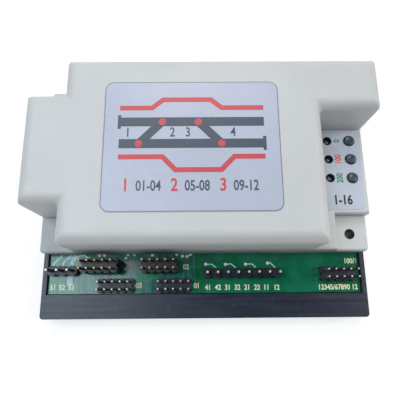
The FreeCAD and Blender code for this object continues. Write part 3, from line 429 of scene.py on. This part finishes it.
def numeral(text, centre, height, low, high, turn=0.0, weight=0.0, width=0.8):
    """A mesh of figures lying flat, centred, with their tops turned by an angle in degrees."""
    curve = bpy.data.curves.new("figures", "FONT")
    curve.body = text
    curve.size = height * MM / FIGURE_CAP_SHARE
    curve.align_x = "CENTER"
    curve.align_y = "CENTER"
    curve.offset = weight * MM
    curve.extrude = (high - low) / 2 * MM
    curve.resolution_u = 4
    holder = bpy.data.objects.new("figures", curve)
    bpy.context.scene.collection.objects.link(holder)
    bpy.context.view_layer.update()
    graph = bpy.context.evaluated_depsgraph_get()
    mesh = bpy.data.meshes.new_from_object(holder.evaluated_get(graph))
    bpy.data.objects.remove(holder)
    bpy.data.curves.remove(curve)
    spin = Matrix.Rotation(math.radians(turn), 4, "Z")
    lift = Matrix.Translation((centre[0] * MM, centre[1] * MM, (low + high) / 2 * MM))
    mesh.transform(lift @ spin @ Matrix.Diagonal((width, 1.0, 1.0, 1.0)))
    return mesh


def add_numerals(shape, figures, height, low, high, turn=0.0, weight=0.0, width=0.8):
    """Adds several figures, each (text, (x, y)), to a shape."""
    for text, centre in figures:
        mesh = numeral(text, centre, height, low, high, turn, weight, width)
        shape.from_mesh(mesh)
        bpy.data.meshes.remove(mesh)


# ---------------------------------------------------------------- roof label

LABEL_LOW, LABEL_HIGH = (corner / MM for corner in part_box("top_label"))
FILM_TOP = LABEL_HIGH.z - 0.05
LABEL_CORNER = 2.8
BORDER_INSET, BORDER_WIDTH = 0.05, 0.30


def roof_label():
    """The film, its thin printed border, and a plain drawing of tracks with numbered points."""
    left, front, right, rear = LABEL_LOW.x, LABEL_LOW.y, LABEL_HIGH.x, LABEL_HIGH.y
    film = label_film("roof_film_paint", (0.50, 0.53, 0.65), (0.54, 0.57, 0.69))
    shape = bmesh.new()
    prism(shape, rounded_box(left, right, front, rear, LABEL_CORNER), LABEL_LOW.z, FILM_TOP)
    piece = add_piece("roof_label_film", shape, film)
    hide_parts("top_label")
    border = bmesh.new()
    edges = [rounded_box(left + inset, right - inset, front + inset, rear - inset,
                         LABEL_CORNER - inset)
             for inset in (BORDER_INSET, BORDER_INSET + BORDER_WIDTH)]
    ring(border, *edges, FILM_TOP, FILM_TOP + INK_STEP)
    grey = ink("border_ink_paint", (0.22, 0.23, 0.27))
    add_piece("roof_label_border", border, grey)
    track_drawing((left + right) / 2, front)


# The drawing's rows, up from the label's front edge, and its sizes.
LOW_ROUTE, LOWER_LINE, UPPER_LINE, HIGH_ROUTE = 17.2, 21.5, 28.7, 33.4
HALF_RUN = 22.5
TRACK_WIDTH, CROSSOVER_WIDTH, ROUTE_WIDTH = 3.0, 2.7, 1.6
BUFFER_REACH, BUFFER_WIDTH = 2.3, 1.0
POINT_RADIUS = 1.15
GROUPS = (("1", "01-04"), ("2", "05-08"), ("3", "09-12"))
GROUP_START, GROUP_STEP, RANGE_SHIFT = 20.0, 14.7, 6.9


def track_drawing(x, y):
    """A plain track plan: two slate main lines with crossovers, and two red passing loops."""
    upper, lower = y + UPPER_LINE, y + LOWER_LINE
    high, low = y + HIGH_ROUTE, y + LOW_ROUTE
    left, right = x - HALF_RUN, x + HALF_RUN
    points = [(x - 16.4, lower), (x - 9.2, upper), (x + 2.0, upper), (x + 9.2, lower)]
    slate = (([(left, upper), (right, upper)], TRACK_WIDTH),
             ([(left, lower), (right, lower)], TRACK_WIDTH),
             (points[:2], CROSSOVER_WIDTH), (points[2:], CROSSOVER_WIDTH),
             ([(left, upper - BUFFER_REACH), (left, upper + BUFFER_REACH)], BUFFER_WIDTH),
             ([(right, lower - BUFFER_REACH), (right, lower + BUFFER_REACH)], BUFFER_WIDTH))
    routes = [[(left, high), (x - 12.4, high), (x - 9.0, high + 2.8), (x + 6.0, high + 2.8),
               (x + 9.4, high), (right, high)],
              [(left, low), (x - 9.0, low), (x - 5.0, low - 4.2), (x + 9.0, low - 4.2),
               (x + 13.0, low), (right, low)]]
    inks = {"red": ink("route_red_ink_paint", (0.58, 0.070, 0.085)),
            "slate": ink("track_slate_ink_paint", (0.066, 0.083, 0.115))}
    shape = bmesh.new()
    for place, (line, width) in enumerate(slate):
        prism(shape, band(line, width), FILM_TOP, FILM_TOP + (2 + 0.1 * place) * INK_STEP)
    add_piece("roof_label_tracks", shape, inks["slate"])
    shape = bmesh.new()
    for route in routes:
        prism(shape, band(route, ROUTE_WIDTH), FILM_TOP, FILM_TOP + 2.8 * INK_STEP)
    add_piece("roof_label_routes", shape, inks["red"])
    shape = bmesh.new()
    for place in points:
        prism(shape, circle(place, POINT_RADIUS), FILM_TOP, FILM_TOP + 3.5 * INK_STEP)
    add_piece("roof_label_points", shape, inks["red"])
    shape = bmesh.new()
    figures = [(str(place + 1), (px + side, (upper + lower) / 2))
               for place, ((px, _), side) in enumerate(zip(points, (-3.4, 3.2, -3.2, 3.6)))]
    add_numerals(shape, figures, 3.0, FILM_TOP, FILM_TOP + 3 * INK_STEP, weight=0.06)
    add_piece("roof_label_figures", shape, inks["slate"])
    caption_marks(x, y, inks)


def caption_marks(x, y, inks):
    """A row under the drawing: a red group number and its range of outputs, three times."""
    red = bmesh.new()
    dark = bmesh.new()
    top = FILM_TOP + INK_STEP
    for place, (first, text) in enumerate(GROUPS):
        start = x - GROUP_START + place * GROUP_STEP
        add_numerals(red, [(first, (start, y + 8.1))], 3.9, FILM_TOP, top, weight=0.13)
        add_numerals(dark, [(text, (start + RANGE_SHIFT, y + 7.9))], 3.2, FILM_TOP, top,
                     weight=0.085, width=0.72)
    add_piece("roof_label_groups", red, inks["red"])
    add_piece("roof_label_ranges", dark, inks["slate"])


# ---------------------------------------------------------------- panel marks

MARKS = (("green", "0"), ("red", "100"), ("green", "200"))
MARK_INSET, MARK_HEIGHT, MARK_WEIGHT = 8.0, 2.1, 0.085
RANGE_INSET, RANGE_REACH, RANGE_HEIGHT, RANGE_WEIGHT = 7.7, 3.3, 3.2, 0.13


def panel_marks():
    """Numbers between lamps and buttons, and the larger numbers at the panel's front."""
    low, high = (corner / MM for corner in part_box("panel_label"))
    inks = {"green": ink("panel_green_ink_paint", (0.035, 0.230, 0.110)),
            "red": ink("panel_red_ink_paint", (0.64, 0.10, 0.07))}
    for place, (tint, text) in enumerate(MARKS, 1):
        spot = (high.x - MARK_INSET, middle_of("push_button_%d" % place).y)
        shape = bmesh.new()
        add_numerals(shape, [(text, spot)], MARK_HEIGHT, high.z, high.z + INK_STEP,
                     turn=90, weight=MARK_WEIGHT)
        add_piece("panel_mark_%d" % place, shape, inks[tint])
    shape = bmesh.new()
    spot = (high.x - RANGE_INSET, low.y + RANGE_REACH)
    add_numerals(shape, [("1-16", spot)], RANGE_HEIGHT, high.z, high.z + INK_STEP,
                 weight=RANGE_WEIGHT)
    black = ink("panel_black_ink_paint", (0.010, 0.010, 0.012))
    add_piece("panel_range_mark", shape, black)


CAP_STEM_INSET, CAP_FLANGE = 0.45, 1.1
CROWN_RADIUS = 0.42
# Rows close to an edge keep the smooth shading tight there.
EDGE_HOLD = 0.02
AXIS_GAP = 0.02
# The dish in the crown: how far in from the stem's side, and how deep.
DISH = ((0.60, 0.02), (0.80, 0.12), (1.1, 0.17))
DISH_DEPTH = 0.19


def turned(name, centre, profile, material, body, steps=40):
    """A round piece turned about an upright axis from (radius, height) points, bottom to top."""
    shape = bmesh.new()
    rows = []
    for radius, height in profile:
        ring_points = circle(centre, radius, steps)
        rows.append([shape.verts.new((x * MM, y * MM, height * MM)) for x, y in ring_points])
    for below, above in zip(rows, rows[1:]):
        for place in range(steps):
            after = (place + 1) % steps
            shape.faces.new((below[place], below[after], above[after], above[place]))
    shape.faces.new(list(reversed(rows[0])))
    shape.faces.new(rows[-1])
    for face in shape.faces:
        face.smooth = True
    return add_piece(name, shape, material, body)


def button_caps(material):
    """The plungers with a flange, a straight stem and a softly domed, dished crown."""
    for place in (1, 2, 3):
        node = "push_button_%d" % place
        low, high = (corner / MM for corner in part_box(node))
        centre = ((low.x + high.x) / 2, (low.y + high.y) / 2)
        wide = (high.x - low.x) / 2
        stem = wide - CAP_STEM_INSET
        flange = low.z + CAP_FLANGE
        top = high.z
        profile = [(AXIS_GAP, low.z), (wide, low.z), (wide, low.z + EDGE_HOLD),
                   (wide, flange - EDGE_HOLD), (wide, flange), (stem, flange),
                   (stem, flange + EDGE_HOLD), (stem, top - 0.6)]
        for angle in (0, 20, 40, 60, 78, 90):
            turn = math.radians(angle)
            profile.append((stem - CROWN_RADIUS + CROWN_RADIUS * math.cos(turn),
                            top - CROWN_RADIUS + CROWN_RADIUS * math.sin(turn)))
        profile += [(stem - inset, top - depth) for inset, depth in DISH]
        profile.append((AXIS_GAP, top - DISH_DEPTH))
        piece = turned("button_cap_%d" % place, centre, profile, material,
                       "button_%d" % place)
        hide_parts(node)


MOUNTING_HOLES = ((50.7, -13.45), (-50.7, 35.5))
SKIRT_BOTTOM, SKIRT_TOP = 7.9, 14.2
# Outer and inner radius of each dark sleeve; the sleeves are painted shade inside the holes.
HOLE_SHADE_SLEEVE = (1.79, 1.70)
LAMP_SHADE_SLEEVE = (1.59, 1.50)
PANEL_DEPTH = 1.9
FINE_RING = 32


def hole_shade_sleeves(material):
    """Thin dark sleeves in the cover's two mounting holes, one screw's width across: painted shade
    for the deep bores.
    """
    shape = bmesh.new()
    for centre in MOUNTING_HOLES:
        rims = [circle(centre, radius, FINE_RING) for radius in HOLE_SHADE_SLEEVE]
        ring(shape, *rims, SKIRT_BOTTOM, SKIRT_TOP)
    add_piece("mounting_hole_shade_sleeves", shape, material)


def lamp_shade_collars(material):
    """Thin dark collars in the panel's three lamp holes: painted shade for the recesses."""
    shape = bmesh.new()
    low, high = (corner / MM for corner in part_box("panel_label"))
    for place in (1, 2, 3):
        centre = tuple(middle_of("status_lamp_%d" % place))
        rims = [circle(centre, radius, FINE_RING) for radius in LAMP_SHADE_SLEEVE]
        ring(shape, *rims, low.z - PANEL_DEPTH, high.z - 0.03)
    add_piece("lamp_shade_collars", shape, material)


# ---------------------------------------------------------------- board detail

BOARD_LOW, BOARD_HIGH = (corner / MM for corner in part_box("circuit_board"))


SILK = [("41", 1.2, -31.15), ("42", 4.75, -31.15), ("31", 8.2, -31.2), ("32", 11.6, -31.2),
        ("21", 15.1, -31.2), ("22", 18.6, -31.25), ("11", 21.9, -31.25), ("12", 25.5, -31.3),
        ("03", -23.2, -30.35), ("01", -2.8, -30.5), ("04", -26.9, -23.95), ("02", -6.6, -23.9),
        ("51", -53.6, -30.8), ("52", -50.4, -30.8), ("53", -47.1, -30.8), ("100/1", 52.6, -22.2),
        ("12345/67890 12", 47.3, -31.35)]


def silk_marks():
    """Pale printed numbers beside each header."""
    top = BOARD_HIGH.z
    shape = bmesh.new()
    for text, x, y in SILK:
        add_numerals(shape, [(text, (x, y))], 1.75, top, top + 0.02, weight=0.07, width=0.86)
    pale = ink("silk_ink_paint", (0.94, 0.90, 0.55), 0.6)
    add_piece("board_silk_marks", shape, pale)


VIAS = [(-37.8, -19.5), (-36.0, -19.5), (-28.2, -20.6), (-27.5, -19.3), (-25.2, -19.3),
        (-18.7, -19.5), (-10.0, -19.3), (-7.85, -20.0), (-6.2, -20.1), (-5.0, -19.4),
        (0.48, -22.95), (7.5, -23.0), (14.8, -23.05), (22.7, -22.7)]
# A solder-filled hole's steps, each a radius and a height above the board.
VIA_STEPS = ((0.55, 0.03), (0.42, 0.07), (0.26, 0.09))
TRACES = [([(0.5, -22.95), (2.7, -22.95), (4.7, -24.6)], 0.42),
          ([(7.5, -23.0), (9.6, -22.9), (11.9, -24.8)], 0.42),
          ([(14.8, -23.05), (17.1, -22.95), (18.9, -24.7)], 0.42),
          ([(22.7, -22.7), (23.6, -22.5), (25.9, -24.8)], 0.42),
          ([(-54.2, -23.1), (-53.7, -22.1), (-52.1, -20.5), (-50.9, -19.4)], 0.55),
          ([(-50.8, -23.3), (-50.3, -21.9), (-49.0, -20.5), (-47.9, -19.4)], 0.55),
          ([(-47.9, -23.2), (-47.8, -22.1), (-47.4, -20.9), (-46.0, -19.5)], 0.50),
          ([(-49.0, -21.1), (-47.4, -20.0), (-46.6, -19.35)], 0.40),
          ([(-47.1, -22.9), (-47.1, -21.8), (-46.3, -20.5), (-44.8, -19.6), (-43.0, -19.5),
            (-42.0, -20.4)], 0.50)]


def vias():
    """Tinned, solder-filled holes: a flat land with a low rounded fill."""
    top = BOARD_HIGH.z
    lands = bmesh.new()
    for centre in VIAS:
        for radius, height in VIA_STEPS:
            prism(lands, circle(centre, radius, 20), top, top + height)
    tin = ink("via_tin_paint", (0.96, 0.97, 0.84), 0.45)
    add_piece("board_via_lands", lands, tin)


def traces():
    """Raised copper lines under the mask, from each output hole and in a fan at the left; their
    pale colour is partly the lighter copper under the mask and partly a painted reflection.
    """
    top = BOARD_HIGH.z
    shape = bmesh.new()
    for place, (line, width) in enumerate(TRACES):
        prism(shape, band(line, width), top, top + 0.012 + 0.001 * place)
    # Pale trace colour: lighter copper, brightened as a painted reflection.
    pale = ink("trace_sheen_paint", (0.42, 0.74, 0.70), 0.2)
    add_piece("board_traces", shape, pale)
    # A pale bar on the board at the left, 2 mm wide and 3.4 mm long.
    shape = bmesh.new()
    prism(shape, [(-48.7, -30.0), (-46.7, -30.0), (-46.9, -26.6), (-48.9, -26.6)], top, top + 0.01)
    pale = ink("pale_bar_paint", (0.36, 0.50, 0.58), 0.2)
    add_piece("board_pale_bar", shape, pale)


# ---------------------------------------------------------------- stage

def stage():
    """A pale floor lit like a light table, soft boxes at the sides and rear, a dim studio."""
    bpy.ops.mesh.primitive_plane_add(size=4.0)
    floor = bpy.context.object
    floor.name = "floor"
    paint = Paint("floor_paint", 0.9)
    paint.colour(paint.blend(paint.noise(0.02, 2), (0.52, 0.52, 0.52), (0.55, 0.55, 0.55)))
    paint.shader.inputs["Emission Color"].default_value = (1.0, 1.0, 1.0, 1.0)
    paint.shader.inputs["Emission Strength"].default_value = 0.63
    floor.data.materials.append(paint.material)
    world = bpy.data.worlds.new("studio")
    bpy.context.scene.world = world
    world.use_nodes = True
    dress_world(world.node_tree)
    soft_box("left_box", (-0.32, 0.03, 0.62), 0.42, 2.5, (0.80, 0.91, 1.0))
    soft_box("right_box", (0.62, 0.05, 0.62), 0.32, 2.9, (1.0, 0.97, 0.93))
    soft_box("rear_box", (-0.02, 0.56, 0.66), 0.38, 2.5, (1.0, 1.0, 1.0))
    bpy.context.scene.view_settings.view_transform = "Standard"


def dress_world(tree):
    """A dim room for the light and the reflections, and a pale backdrop for the camera."""
    room = tree.nodes["Background"]
    room.inputs["Color"].default_value = (0.98, 0.99, 1.0, 1.0)
    room.inputs["Strength"].default_value = 0.05
    backdrop = tree.nodes.new("ShaderNodeBackground")
    backdrop.inputs["Color"].default_value = (0.93, 0.94, 0.95, 1.0)
    backdrop.inputs["Strength"].default_value = 1.0
    choice = tree.nodes.new("ShaderNodeMixShader")
    path = tree.nodes.new("ShaderNodeLightPath")
    tree.links.new(path.outputs["Is Camera Ray"], choice.inputs[0])
    tree.links.new(room.outputs[0], choice.inputs[1])
    tree.links.new(backdrop.outputs[0], choice.inputs[2])
    tree.links.new(choice.outputs[0], tree.nodes["World Output"].inputs["Surface"])


def soft_box(name, place, side, power, tint):
    """A square area light aimed at the object."""
    data = bpy.data.lights.new(name, "AREA")
    data.shape = "SQUARE"
    data.size = side
    data.energy = power
    data.color = tint
    lamp = bpy.data.objects.new(name, data)
    bpy.context.scene.collection.objects.link(lamp)
    lamp.location = place
    aim = Vector((0.0, 0.0, 0.02)) - lamp.location
    lamp.rotation_mode = "QUATERNION"
    lamp.rotation_quaternion = aim.to_track_quat("-Z", "Y")


CAMERA_PLACE = (-2.44 * MM, -34.85 * MM, 152.3 * MM)
CAMERA_TILT, CAMERA_YAW, CAMERA_ROLL = 13.85, -0.41, -0.37
SENSOR_WIDTH, CAMERA_LENS = 36.0, 35.93


def camera():
    """Looks down from just above the front ledge, tipped towards the rear."""
    data = bpy.data.cameras.new("camera")
    data.sensor_width = SENSOR_WIDTH
    data.lens = CAMERA_LENS
    data.clip_start = 0.01
    data.clip_end = 10.0
    eye = bpy.data.objects.new("camera", data)
    bpy.context.scene.collection.objects.link(eye)
    tip = Matrix.Rotation(math.radians(CAMERA_TILT), 4, "X")
    yaw = Matrix.Rotation(math.radians(CAMERA_YAW), 4, "Y")
    roll = Matrix.Rotation(math.radians(CAMERA_ROLL), 4, "Z")
    eye.matrix_world = Matrix.Translation(CAMERA_PLACE) @ tip @ yaw @ roll
    bpy.context.scene.camera = eye


paints = dress_nodes()
roof_label()
panel_marks()
button_caps(paints["button_plastic"])
hole_shade_sleeves(paints["tray_plastic"])
lamp_shade_collars(paints["button_plastic"])
silk_marks()
vias()
traces()
stage()
camera()
